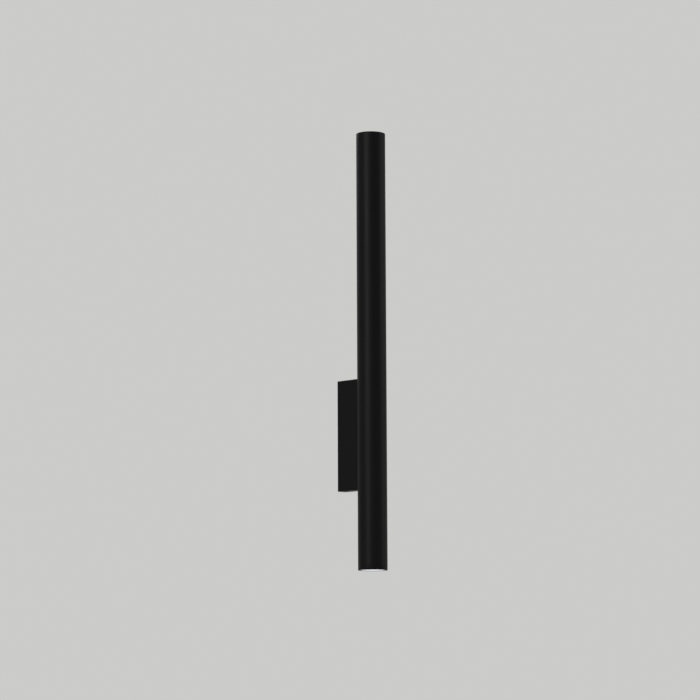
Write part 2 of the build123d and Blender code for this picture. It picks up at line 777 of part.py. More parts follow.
earth_height = lead_height + 2 * lead_drop
earth_turn = strip_front + earth_lead_turn
earth_lead = leads(
    [
        [
            at(0, cage_stop, pole_heights[2]),
            at(0, connector_exit, pole_heights[2]),
            at(0, sleeve_entry, earth_height),
            at(0, earth_turn, earth_height),
            at(0, earth_turn, earth_height + earth_lead_rise),
            at(0, barrel_distance, barrel_bottom - lead_slack),
            at(0, barrel_distance, barrel_bottom + mains_lead_tail),
        ]
    ],
    mains_lead_radius,
)
save(earth_lead, "earth_lead")

# The light modules' leads: two from the driver up to the upper module, and two
# that turn back beside the driver and run down to the lower module
led_start = driver_top - block_inset - mains_lead_tail
led_distance = tube_standoff + led_lead_offset
led_end_depth = floor_front - led_lead_entry
led_turn = driver_top + led_lead_run
beside_x = (driver_half_width + bore_radius) / 2
lower_turn = tube_bottom + fins_end + led_lead_run
upper_routes = []
lower_routes = []
for side, upper_way, lower_way in ((-1, led_ways[0], led_ways[3]), (1, led_ways[1], led_ways[2])):
    core_x = side * lead_pair_spacing / 2
    upper_routes.append([
        at(upper_way[0], driver_entry_distance, led_start),
        at(upper_way[0], driver_entry_distance, led_turn),
        at(core_x, led_distance, tube_top - fins_end - led_lead_run),
        at(core_x, led_distance, tube_top - led_end_depth),
    ])
    lower_routes.append([
        at(lower_way[0], driver_entry_distance, led_start),
        at(lower_way[0], driver_entry_distance, led_turn + side * lead_pair_spacing),
        at(beside_x, tube_standoff + core_x, led_turn + side * lead_pair_spacing),
        at(beside_x, tube_standoff + core_x, lower_turn + led_lead_slope),
        at(core_x, led_distance, lower_turn),
        at(core_x, led_distance, tube_bottom + led_end_depth),
    ])
upper_leads = leads(upper_routes, led_lead_radius)
save(upper_leads, "upper_leads")
lower_leads = leads(lower_routes, led_lead_radius)
save(lower_leads, "lower_leads")

# The two light modules, each drawn from its own mouth inwards
cup_front = ring_end - ring_neck + shoulder_gap
lens_radius = cup_radius - lens_gap
holder_radius = cup_radius - holder_gap
holder_screw_offset = cup_radius - holder_screw_inset
for end, (mouth, inward) in ends.items():
    face = Plane(origin=(0, -tube_standoff, mouth), x_dir=(1, 0, 0), z_dir=(0, 0, inward))
    section = through_axis(face)
    lead_places = [
        (side * lead_pair_spacing / 2, -inward * led_lead_offset) for side in (-1, 1)
    ]
    screw_places = [(side * holder_screw_offset, 0) for side in (-1, 1)]

    # The ring: stepped inside against glare, with a neck that screws into the heat sink
    with BuildPart() as glare_ring:
        tread = (mouth_radius - aperture_radius) / (ring_steps - 1)
        rise = ring_length / ring_steps
        stairs = []
        for step in range(ring_steps):
            stairs.append((mouth_radius - step * tread, ring_inset + step * rise))
            stairs.append((mouth_radius - step * tread, ring_inset + (step + 1) * rise))
        with BuildSketch(section):
            with BuildLine():
                Polyline(
                    *stairs,
                    (cup_radius - thread_gap, ring_end),
                    (cup_radius - thread_gap, ring_end - ring_neck),
                    (module_radius, ring_end - ring_neck),
                    (module_radius, ring_inset + ring_edge),
                    (module_radius - ring_edge, ring_inset),
                    close=True,
                )
            make_face()
        revolve(axis=axis_of(face))
    save(glare_ring, f"{end}_glare_ring")

    with BuildPart() as lens_seal:
        with BuildSketch(face.offset(ring_end)):
            Circle(aperture_radius + seal_width)
            Circle(aperture_radius, mode=Mode.SUBTRACT)
        extrude(amount=seal_thickness)
    save(lens_seal, f"{end}_lens_seal")

    # The lens: a flat front with a rim, a side that bows in to its foot, and a
    # pocket over the lit disc
    with BuildPart() as lens:
        shoulder = Vector(lens_radius - lens_shoulder, lens_front + lens_rim)
        foot = Vector(lens_foot_radius, lens_back)
        bow = (shoulder + foot) / 2 + Vector(lens_bulge, lens_bulge) / sqrt(2)
        with BuildSketch(section):
            with BuildLine():
                Polyline(
                    foot,
                    (lens_pocket_radius, lens_back),
                    (lens_pocket_top, lens_back - lens_pocket_depth),
                    (0, lens_back - lens_pocket_depth),
                    (0, lens_front),
                    (lens_radius, lens_front),
                    (lens_radius, lens_front + lens_rim),
                    shoulder,
                )
                ThreePointArc(shoulder, bow, foot)
            make_face()
        revolve(axis=axis_of(face))
    save(lens, f"{end}_lens")

    # The holder clamps the chip on the heat sink and takes the two leads
    with BuildPart() as led_holder:
        with BuildSketch(face.offset(holder_front)):
            Circle(holder_radius)
            Circle(holder_window, mode=Mode.SUBTRACT)
        extrude(amount=holder_height)
        lit_edge = led_holder.edges().filter_by(GeomType.CIRCLE).filter_by(
            lambda edge: abs(edge.radius - holder_window) < thread_gap
        )
        chamfer(lit_edge.sort_by(axis_of(face))[0], holder_flare)
        with BuildSketch(face.offset(floor_front)):
            Rectangle(chip_side + 2 * chip_gap, chip_side + 2 * chip_gap)
        extrude(amount=-chip_thickness - chip_gap, mode=Mode.SUBTRACT)
        with BuildSketch(face.offset(holder_front)):
            with Locations(*screw_places):
                Circle(m3_radius * pan_head_ratio + pass_gap)
        extrude(amount=holder_screw_sink, mode=Mode.SUBTRACT)
        with BuildSketch(face.offset(holder_front)):
            with Locations(*screw_places):
                Circle(m3_radius + pass_gap)
        extrude(amount=holder_height, mode=Mode.SUBTRACT)
        with BuildSketch(face.offset(floor_front)):
            with Locations(*lead_places):
                Circle(led_lead_radius + lead_gap)
        extrude(amount=-led_lead_entry - lead_gap, mode=Mode.SUBTRACT)
    save(led_holder, f"{end}_led_holder")

    holder_seats = [
        Plane(
            origin=face.offset(holder_front + holder_screw_sink).from_local_coords(place),
            x_dir=(1, 0, 0),
            z_dir=(0, 0, -inward),
        )
        for place in screw_places
    ]
    holder_screws = pan_screws(holder_seats, m3_radius, holder_screw_length)
    save(holder_screws, f"{end}_holder_screws")

    with BuildPart() as led_chip:
        with BuildSketch(face.offset(floor_front)):
            Rectangle(chip_side, chip_side)
        extrude(amount=-chip_thickness)
        with BuildSketch(face.offset(floor_front - chip_thickness)):
            Circle(chip_disc_radius)
        extrude(amount=-chip_disc_thickness)
    save(led_chip, f"{end}_led_chip")

    # The heat sink: a cup for the parts above, a thick floor, and fins round a core
    with BuildPart() as heat_sink:
        with BuildSketch(face.offset(cup_front)):
            Circle(module_radius)
        extrude(amount=floor_back - cup_front)
        with BuildSketch(face.offset(cup_front)):
            Circle(cup_radius)
        extrude(amount=floor_front - cup_front, mode=Mode.SUBTRACT)
        with BuildSketch(face.offset(floor_back)):
            Circle(core_radius)
            with PolarLocations(0, fin_count):
                Rectangle(module_radius + cut_past, fin_thickness, align=(Align.MIN, Align.CENTER))
            Circle(module_radius, mode=Mode.INTERSECT)
        extrude(amount=fin_length)
        with BuildSketch(face.offset(floor_front)):
            with Locations(*screw_places):
                Circle(m3_radius + thread_gap)
        extrude(amount=holder_screw_length, mode=Mode.SUBTRACT)
        with BuildSketch(face.offset(floor_front)):
            with Locations(*lead_places):
                Circle(led_lead_radius + lead_gap)
        extrude(amount=floor_thickness, mode=Mode.SUBTRACT)
        hole_start = tube_standoff - module_radius + module_screw_length
        with BuildSketch(facing_wall(hole_start, height=mouth + inward * module_screw_depth)):
            Circle(m3_radius + thread_gap)
        extrude(amount=module_screw_length + cut_past, mode=Mode.SUBTRACT)
    save(heat_sink, f"{end}_heat_sink")

# One countersunk screw at the back of each end holds its heat sink in the bore
module_screw_tops = [
    facing_wall(
        tube_standoff - tube_radius + module_screw_sink,
        height=mouth + inward * module_screw_depth,
    )
    for mouth, inward in ends.values()
]
module_screws = flat_screws(module_screw_tops, m3_radius, module_screw_length)
save(module_screws, "module_screws")
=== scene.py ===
import json
import math
import bmesh
import bpy
from mathutils import Matrix, Vector


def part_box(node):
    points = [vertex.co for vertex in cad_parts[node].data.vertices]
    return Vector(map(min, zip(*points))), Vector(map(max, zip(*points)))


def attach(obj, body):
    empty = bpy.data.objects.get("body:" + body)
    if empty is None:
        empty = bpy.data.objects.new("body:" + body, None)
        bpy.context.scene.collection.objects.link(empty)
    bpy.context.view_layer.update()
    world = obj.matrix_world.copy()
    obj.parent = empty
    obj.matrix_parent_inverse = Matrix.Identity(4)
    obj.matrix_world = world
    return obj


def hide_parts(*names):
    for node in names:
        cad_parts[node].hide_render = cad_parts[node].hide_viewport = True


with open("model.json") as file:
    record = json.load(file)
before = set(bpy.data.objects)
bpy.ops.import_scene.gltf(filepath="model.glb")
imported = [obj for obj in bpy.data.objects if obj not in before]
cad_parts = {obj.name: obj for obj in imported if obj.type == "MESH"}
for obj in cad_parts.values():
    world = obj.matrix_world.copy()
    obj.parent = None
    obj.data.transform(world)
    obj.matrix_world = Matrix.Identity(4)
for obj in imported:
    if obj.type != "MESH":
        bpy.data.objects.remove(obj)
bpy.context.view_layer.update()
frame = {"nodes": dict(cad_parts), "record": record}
nodes = frame["nodes"]
axisY = -0.060  # the tube's axis, 60 mm out from the wall
tubeLow, tubeHigh = (corner[2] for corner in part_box("tube_body"))
print("frame loaded:", len(nodes), "nodes")


class Wire:
    # one output of a node; sums on it add Math nodes to the same tree
    def __init__(self, graph, socket):
        self.graph, self.socket = graph, socket

    def math(self, operation, *others):
        return self.graph.math(operation, self, *others)

    def __add__(self, other):
        return self.math("ADD", other)

    def __radd__(self, other):
        return self.graph.math("ADD", other, self)

    def __sub__(self, other):
        return self.math("SUBTRACT", other)

    def __rsub__(self, other):
        return self.graph.math("SUBTRACT", other, self)

    def __mul__(self, other):
        return self.math("MULTIPLY", other)

    def __rmul__(self, other):
        return self.graph.math("MULTIPLY", other, self)

    def __truediv__(self, other):
        return self.math("DIVIDE", other)

    def __rtruediv__(self, other):
        return self.graph.math("DIVIDE", other, self)

    def __pow__(self, other):
        return self.math("POWER", other)

    def __neg__(self):
        return self.math("MULTIPLY", -1.0)

    def __abs__(self):
        return self.math("ABSOLUTE")

    def above(self, low, high):
        # 0 below low, 1 above high, and smooth between them
        return self.graph.add("ShaderNodeMapRange", {"interpolation_type": "SMOOTHSTEP"},
                              {"Value": self, "From Min": low, "From Max": high})

    def below(self, low, high):
        return 1 - self.above(low, high)


class Graph:
    # a shader tree or a geometry tree, as it is built
    def __init__(self, tree):
        self.tree = tree

    def feed(self, socket, value):
        if isinstance(value, Wire):
            self.tree.links.new(value.socket, socket)
        elif isinstance(value, (tuple, list)) and socket.type == "RGBA" and len(value) == 3:
            socket.default_value = (*value, 1.0)
        else:
            socket.default_value = value

    def add(self, kind, settings=None, inputs=None, output=0):
        node = self.tree.nodes.new(kind)
        for name, value in (settings or {}).items():
            if name == "items":  # how many inputs an Index Switch has
                while len(node.index_switch_items) < value:
                    node.index_switch_items.new()
            else:
                setattr(node, name, value)
        for name, value in (inputs or {}).items():
            self.feed(node.inputs[name], value)
        return Wire(self, node.outputs[output])

    def math(self, operation, *values):
        return self.add("ShaderNodeMath", {"operation": operation}, dict(enumerate(values)))

    def outputs(self, wire):
        return {socket.name: Wire(self, socket) for socket in wire.socket.node.outputs}


class Finish(Graph):
    # one material: patterns read Object coordinates, in metres
    def __init__(self, name):
        self.material = bpy.data.materials.new(name)
        self.material.use_nodes = True
        super().__init__(self.material.node_tree)
        self.shader = next(node for node in self.tree.nodes if node.type == "BSDF_PRINCIPLED")
        self.place = self.add("ShaderNodeTexCoord", output=3)
        parts = self.outputs(self.add("ShaderNodeSeparateXYZ", None, {0: self.place}))
        self.x, self.y, self.z = parts["X"], parts["Y"], parts["Z"]

    def stretched(self, x, y, z):
        return self.add("ShaderNodeMapping", None, {"Vector": self.place, "Scale": (x, y, z)})

    def noise(self, scale, detail, rough=0.5, at=None):
        # scale is per metre
        return self.add("ShaderNodeTexNoise", None, {
            "Vector": at or self.place, "Scale": scale, "Detail": detail, "Roughness": rough})

    def cells(self, scale, feature="F1", output=0, at=None):
        return self.add("ShaderNodeTexVoronoi", {"feature": feature},
                        {"Vector": at or self.place, "Scale": scale}, output)

    def mix(self, factor, first, second):
        return self.add("ShaderNodeMix", {"data_type": "RGBA"}, {0: factor, 6: first, 7: second}, 2)

    def edges(self, radius, gain=6.0):
        # 1 along the piece's edges, 0 on its flats
        bevel = self.add("ShaderNodeBevel", {"samples": 6}, {"Radius": radius})
        flat = self.add("ShaderNodeNewGeometry", output=1)
        same = self.add("ShaderNodeVectorMath", {"operation": "DOT_PRODUCT"}, {0: bevel, 1: flat}, 1)
        return ((1 - same) * gain).above(0.05, 1.0)

    def fromAxis(self):
        # distance from the tube's axis
        return ((self.x * self.x) + (self.y - axisY) * (self.y - axisY)) ** 0.5

    def bump(self, height, distance, strength):
        normal = self.add("ShaderNodeBump", None,
                          {"Height": height, "Distance": distance, "Strength": strength})
        self.tree.links.new(normal.socket, self.shader.inputs["Normal"])

    def set(self, **values):
        for name, value in values.items():
            label = " ".join(part.capitalize() for part in name.split("_"))
            label = {"Ior": "IOR", "Specular": "Specular IOR Level"}.get(label, label)
            self.feed(self.shader.inputs[label], value)
        return self.material


# Finishes

def shaded(colour, share, lift=0.0):
    return tuple(min(1.0, channel * share + lift) for channel in colour)


coat = {
    "black": (0.0021, 0.0021, 0.0022),
    "worn": (0.020, 0.020, 0.021),
    "grain": 2300.0,  # per metre
    "grainShade": (0.55, 2.3),  # the pits' and the grains' share of black
    "peel": 420.0,
    "roughness": 0.46,
    "specular": 0.07,
}


def powderCoat():
    finish = Finish("blackPowderCoat")
    grain = finish.noise(coat["grain"], detail=3.0, rough=0.62)
    peel = finish.noise(coat["peel"], detail=2.0)
    cloud = finish.noise(9.0, detail=3.0)
    edge = finish.edges(radius=0.0005) * finish.noise(900.0, detail=2.0).above(0.35, 0.7)
    pits, grains = (shaded(coat["black"], share) for share in coat["grainShade"])
    colour = finish.mix(grain.above(0.36, 0.68) * (0.75 + cloud * 0.25), pits, grains)
    finish.bump(grain * 0.7 + peel * 0.5, distance=0.0001, strength=0.8)
    return finish.set(
        base_color=finish.mix(edge * 0.5, colour, coat["worn"]),
        roughness=coat["roughness"] + (grain - 0.5) * 0.16 + (cloud - 0.5) * 0.10 - edge * 0.12,
        specular=coat["specular"],
    )


def zincSheet(name, colour, crystals, scratch):
    # rolled steel strip under zinc: dull crystals and fine scratches along its length
    finish = Finish(name)
    crystal = finish.cells(crystals, output=1)
    shade = finish.add("ShaderNodeSeparateXYZ", None, {0: crystal})
    rolled = finish.stretched(1.0, 1.0, 0.04)
    scratches = finish.noise(scratch, detail=2.0, rough=0.6, at=rolled).above(0.42, 0.75)
    stain = finish.noise(55.0, detail=4.0).above(0.35, 0.8)
    edge = finish.edges(radius=0.0004)
    light, dull = shaded(colour, 1.18), shaded(colour, 0.72)
    base = finish.mix(shade, colour, light)
    base = finish.mix(stain * 0.45, base, dull)
    finish.bump(scratches * 0.6 + shade * 0.25, distance=0.00003, strength=0.5)
    return finish.set(
        base_color=finish.mix(edge * 0.6, base, light),
        metallic=1.0,
        roughness=0.34 + shade * 0.16 + stain * 0.12 - scratches * 0.06,
    )


def screwMetal(name, colour, roughness):
    finish = Finish(name)
    grime = finish.noise(700.0, detail=4.0).above(0.35, 0.75)
    tool = finish.noise(5200.0, detail=2.0, rough=0.7)
    edge = finish.edges(radius=0.00025)
    dark, light = shaded(colour, 0.45), shaded(colour, 1.25, lift=0.01)
    finish.bump(tool, distance=0.00002, strength=0.5)
    return finish.set(
        base_color=finish.mix(edge, finish.mix(grime * 0.5, colour, dark), light),
        metallic=1.0,
        roughness=roughness + grime * 0.18 + (tool - 0.5) * 0.10,
    )


def mouldedPlastic(name, colour, roughness=0.42, grain=1800.0, depth=0.00003):
    # moulded plastic: fine spark texture, a soft flow pattern and rubbed edges
    finish = Finish(name)
    spark = finish.noise(grain, detail=3.0, rough=0.6)
    flow = finish.noise(60.0, detail=3.0)
    edge = finish.edges(radius=0.0003)
    dark, light = shaded(colour, 0.82), shaded(colour, 1.12, lift=0.012)
    finish.bump(spark, distance=depth, strength=0.6)
    return finish.set(
        base_color=finish.mix(edge * 0.5, finish.mix(flow, dark, colour), light),
        roughness=roughness + (spark - 0.5) * 0.18 + (flow - 0.5) * 0.10,
    )


def leadInsulation(name, colour, stripe=None):
    # insulation: drawn lines along the lead, dust, and a stripe down one side if it has one
    finish = Finish(name)
    drawn = finish.noise(2400.0, detail=2.0, rough=0.5)
    dust = finish.noise(260.0, detail=4.0).above(0.5, 0.85)
    base = finish.mix(finish.x.above(-0.00005, 0.00005), colour, stripe) if stripe else colour
    pale = shaded(colour, 0.6, lift=0.25)
    finish.bump(drawn, distance=0.00002, strength=0.4)
    return finish.set(
        base_color=finish.mix(dust * 0.18, base, pale),
        roughness=0.34 + (drawn - 0.5) * 0.14 + dust * 0.2,
    )


board = {
    "tracks": 260.0,  # per metre
    "pads": 330.0,
    "through": (1.0, 0.02, 1.0),  # the pattern is the same on both faces
    "lacquer": ((0.012, 0.105, 0.036), (0.024, 0.19, 0.062)),  # on the board, and over a track
    "tin": (0.70, 0.69, 0.66),
}


def boardLacquer():
    # green lacquer over copper tracks, with tinned pads
    finish = Finish("boardLacquer")
    flat = finish.stretched(*board["through"])
    tracks = finish.cells(board["tracks"], "DISTANCE_TO_EDGE", at=flat).below(0.10, 0.13)
    pads = finish.cells(board["pads"], at=flat).below(0.16, 0.19)
    weave = finish.noise(1900.0, detail=2.0)
    colour = finish.mix(tracks, *board["lacquer"])
    finish.bump(tracks * 0.7 + pads + weave * 0.1, distance=0.00004, strength=0.6)
    return finish.set(
        base_color=finish.mix(pads, colour, board["tin"]),
        metallic=pads,
        roughness=0.30 + weave * 0.10 + pads * 0.08,
    )


transformer = {
    "middle": -0.0646,  # the middle of the windings, out from the wall
    "tape": (0.0049, 0.0051),  # the tape ends and the core begins, each way from there
    "yellow": ((0.62, 0.36, 0.03), (0.86, 0.58, 0.10)),
    "core": ((0.020, 0.020, 0.021), (0.045, 0.044, 0.043)),
}


def transformerTape():
    # yellow tape round the windings, between two dark grey halves of the core
    finish = Finish("transformerTape")
    core = abs(finish.y - transformer["middle"]).above(*transformer["tape"])
    turns = finish.noise(600.0, detail=2.0, rough=0.5, at=finish.stretched(0.05, 1.0, 0.05))
    speck = finish.noise(2600.0, detail=3.0)
    finish.bump(turns * (1 - core) + speck * 0.4, distance=0.00005, strength=0.6)
    return finish.set(
        base_color=finish.mix(core, finish.mix(turns, *transformer["yellow"]),
                              finish.mix(speck, *transformer["core"])),
        roughness=0.28 + core * 0.36 + speck * 0.1,
    )


capacitor = {
    "top": (0.0650, 0.0652),  # the sleeve ends and the bare top begins, out from the wall
    "stripe": (0.0038, 0.0039),  # the stripe begins this far to one side
    "dashes": 260.0,  # per metre
    "gaps": (0.62, 0.66),  # a dash ends and its gap begins, as a share of the two
    "sleeve": (0.012, 0.018, 0.050),
    "mark": (0.50, 0.53, 0.56),
    "bare": (0.72, 0.72, 0.73),
}


def capacitorSleeve():
    # dark shrunk sleeve with a pale dashed stripe, and a bare aluminium top
    finish = Finish("capacitorSleeve")
    top = (-finish.y).above(*capacitor["top"])
    stripe = finish.x.above(*capacitor["stripe"])
    dash = (finish.y * capacitor["dashes"]).math("FRACT").above(*capacitor["gaps"])
    shrink = finish.noise(240.0, detail=3.0)
    metal = finish.noise(1800.0, detail=2.0)
    sleeve = finish.mix(stripe * (1 - dash), capacitor["sleeve"], capacitor["mark"])
    finish.bump(shrink * (1 - top) + metal * top * 0.4, distance=0.00004, strength=0.5)
    return finish.set(
        base_color=finish.mix(top, sleeve, capacitor["bare"]),
        metallic=top,
        roughness=0.24 + shrink * 0.14 + top * 0.16,
    )


aluminium = {
    "shades": ((0.60, 0.60, 0.61), (0.78, 0.78, 0.79)),
    "edges": (0.88, 0.88, 0.89),
    "rings": 5200.0,  # turning marks per metre
}


def turnedAluminium():
    # turned and milled aluminium: fine rings round the axis
    finish = Finish("turnedAluminium")
    rings = finish.noise(aluminium["rings"], detail=2.0, rough=0.5, at=finish.stretched(0.03, 0.03, 1.0))
    cloud = finish.noise(80.0, detail=4.0)
    edge = finish.edges(radius=0.0003)
    finish.bump(rings, distance=0.00002, strength=0.5)
    return finish.set(
        base_color=finish.mix(edge * 0.6, finish.mix(cloud, *aluminium["shades"]), aluminium["edges"]),
        metallic=1.0,
        roughness=0.34 + rings * 0.14 + (cloud - 0.5) * 0.12,
    )


unlit = (0.0, 0.0, 0.0)
chip = {
    "lit": (1.0, 0.955, 0.88),
    "litStrength": 2.2,
    "disc": (0.00440, 0.00450),  # the phosphor disc ends here, out from the tube's axis
    "dam": (0.00515, 0.00525),  # and the dam round it
    "pads": (0.0098, 0.0100),  # the gilt pads begin here, towards the corners
    "dies": 7000.0,
    "ceramic": ((0.78, 0.78, 0.76), (0.90, 0.90, 0.88)),
    "gilt": (0.83, 0.60, 0.25),
    "silicone": (0.93, 0.93, 0.92),
    "phosphor": ((0.92, 0.62, 0.09), (0.98, 0.80, 0.24)),
}


def ledPackage():
    # a white ceramic carrier with gilt pads, a dam, and a phosphor disc over rows of dies
    finish = Finish("ledPackage")
    reach = finish.fromAxis()
    disc = reach.below(*chip["disc"])
    dam = reach.below(*chip["dam"]) * (1 - disc)
    columns = (finish.x * chip["dies"]).math("SINE")
    rows = ((finish.y - axisY) * chip["dies"]).math("SINE")
    dies = (columns * rows).above(0.1, 0.6)
    corner = (abs(finish.x) + abs(finish.y - axisY)).above(*chip["pads"])
    speck = finish.noise(4200.0, detail=2.0)
    colour = finish.mix(corner, finish.mix(speck, *chip["ceramic"]), chip["gilt"])
    colour = finish.mix(dam, colour, chip["silicone"])
    phosphor = finish.mix(dies, *chip["phosphor"])
    finish.bump(dies * disc + dam + speck * 0.2, distance=0.00005, strength=0.5)
    return finish.set(
        base_color=finish.mix(disc, colour, phosphor),
        metallic=corner * (1 - disc) * 0.9,
        roughness=0.44 + speck * 0.12,
        emission_color=finish.mix(disc * (0.72 + dies * 0.28), unlit, chip["lit"]),
        emission_strength=chip["litStrength"],
    )


lens = {
    "clear": (0.955, 0.975, 0.985),
    "pillows": 900.0,  # per metre
    # the lens's painted glow, in its pillows and between them
    "paintedGlow": ((0.92, 0.95, 1.0), (0.70, 0.76, 0.86)),
    "paintedGlowStrength": 0.10,
}


def lensGlass():
    # clear moulded lens with a fine pillow pattern on its front, and a faint painted glow in its pillows
    # that stands in for the LED's light scattered in it
    finish = Finish("mouldedLens")
    pillow = finish.cells(lens["pillows"], "SMOOTH_F1")
    ripple = finish.noise(300.0, detail=2.0)
    finish.bump(1 - pillow + ripple * 0.3, distance=0.00004, strength=0.16)
    return finish.set(
        base_color=lens["clear"],
        transmission_weight=1.0,
        ior=1.49,
        roughness=0.05 + pillow * 0.10,
        # painted glow: emission standing in for the LED's light scattered in the lens
        emission_color=finish.mix(pillow, *lens["paintedGlow"]),
        emission_strength=lens["paintedGlowStrength"],
    )


siliconeShades = ((0.60, 0.62, 0.64), (0.78, 0.80, 0.82))


def silicone():
    finish = Finish("clearSilicone")
    cloud = finish.noise(500.0, detail=3.0)
    finish.bump(cloud, distance=0.00004, strength=0.5)
    return finish.set(
        base_color=finish.mix(cloud, *siliconeShades),
        roughness=0.36 + cloud * 0.16,
        transmission_weight=0.25,
        ior=1.41,
    )


ringLook = {
    "lines": 6400.0,  # turning lines per metre
    "shades": ((0.80, 0.81, 0.83), (0.88, 0.89, 0.91)),
    "edges": (0.95, 0.95, 0.96),
    "paintedGlow": (0.90, 0.93, 1.0),  # painted light on the steps, as an emission colour seen from outside
    "paintedGlowStrength": 0.55,
    "steps": (0.01745, 0.01765),  # the painted glow on the steps ends here, out from the tube's axis
    "rim": (0.0024, 0.0034),  # the outermost step ends here, in from the tube's end
    "inner": 0.42,  # painted glow of the inner steps, over that of the outermost
}


def glowPaintedRing():
    # satin silver ring with turning lines; its steps carry a painted glow, an emission that stands in for
    # the LED's light filling it
    finish = Finish("satinSilverRing")
    lines = finish.noise(ringLook["lines"], detail=2.0, rough=0.5, at=finish.stretched(0.02, 0.02, 1.0))
    haze = finish.noise(140.0, detail=3.0)
    edge = finish.edges(radius=0.00015)
    depth = (tubeHigh - finish.z).math("MINIMUM", finish.z - tubeLow)
    steps = finish.fromAxis().below(*ringLook["steps"])
    # painted light: the steps glow, the outermost one fully and the inner ones less, in place of the LED's
    # light falling on them
    lit = steps * (ringLook["inner"] + depth.below(*ringLook["rim"]) * (1 - ringLook["inner"]))
    finish.bump(lines + haze * 0.2, distance=0.00002, strength=0.5)
    return finish.set(
        base_color=finish.mix(edge * 0.5, finish.mix(haze, *ringLook["shades"]), ringLook["edges"]),
        metallic=1.0,
        roughness=0.30 + lines * 0.16 + (haze - 0.5) * 0.1,
        emission_color=finish.mix(lit, unlit, ringLook["paintedGlow"]),
        emission_strength=ringLook["paintedGlowStrength"],
    )


finishes = {
    "black_coat": powderCoat(),
    "galvanised_steel": zincSheet("galvanisedStrip", (0.50, 0.51, 0.52), 210.0, 900.0),
    "plated_steel": zincSheet("platedStrip", (0.56, 0.56, 0.54), 900.0, 1400.0),
    "bright_screws": screwMetal("brightScrews", (0.60, 0.60, 0.58), 0.24),
    "black_screws": screwMetal("blackenedScrews", (0.022, 0.022, 0.024), 0.40),
    "black_rubber": mouldedPlastic("blackRubber", (0.020, 0.020, 0.021), 0.66, 1400.0, 0.00005),
    "white_nylon": mouldedPlastic("whiteNylon", (0.74, 0.73, 0.69), 0.40),
    "spring_steel": screwMetal("springSteel", (0.58, 0.57, 0.54), 0.28),
    "tinned_copper": screwMetal("tinnedCopper", (0.66, 0.64, 0.60), 0.34),
    "brown_core": leadInsulation("brownLead", (0.150, 0.055, 0.022)),
    "blue_core": leadInsulation("blueLead", (0.022, 0.100, 0.400)),
    "striped_core": leadInsulation("greenYellowLead", (0.040, 0.270, 0.045), (0.80, 0.62, 0.03)),
    "module_cores": leadInsulation("redLead", (0.42, 0.022, 0.018)),
    "driver_plastic": mouldedPlastic("driverCase", (0.70, 0.70, 0.68), 0.46, 1300.0, 0.00005),
    "green_board": boardLacquer(),
    "transformer_tape": transformerTape(),
    "capacitor_sleeve": capacitorSleeve(),
    "filter_case": mouldedPlastic("filterCase", (0.70, 0.47, 0.05), 0.28),
    "terminal_plastic": mouldedPlastic("driverTerminals", (0.030, 0.26, 0.080), 0.38),
    "bare_aluminium": turnedAluminium(),
    "holder_plastic": mouldedPlastic("whiteHolder", (0.80, 0.80, 0.78), 0.36),
    "led_package": ledPackage(),
    "clear_lens": lensGlass(),
    "clear_silicone": silicone(),
    "satin_aluminium": glowPaintedRing(),
}
slotOf = {row["node"]: row["material_slot"] for row in frame["record"]["subparts"]}
for name, node in nodes.items():
    node.data.materials.clear()
    node.data.materials.append(finishes[slotOf[name]])
print("finishes made:", len(finishes))


# Pieces made by geometry nodes

bodies = frame["record"]["behaviour"]["bodies"]
bodyOf = {node: body for body, members in bodies.items() for node in members}
weldOutline, weldPiece = 0.000002, 0.000001  # points nearer to each other than this become one
towardsWall, towardsRoom, upwards, downwards = (0, 1, 0), (0, -1, 0), (0, 0, 1), (0, 0, -1)
grown = []


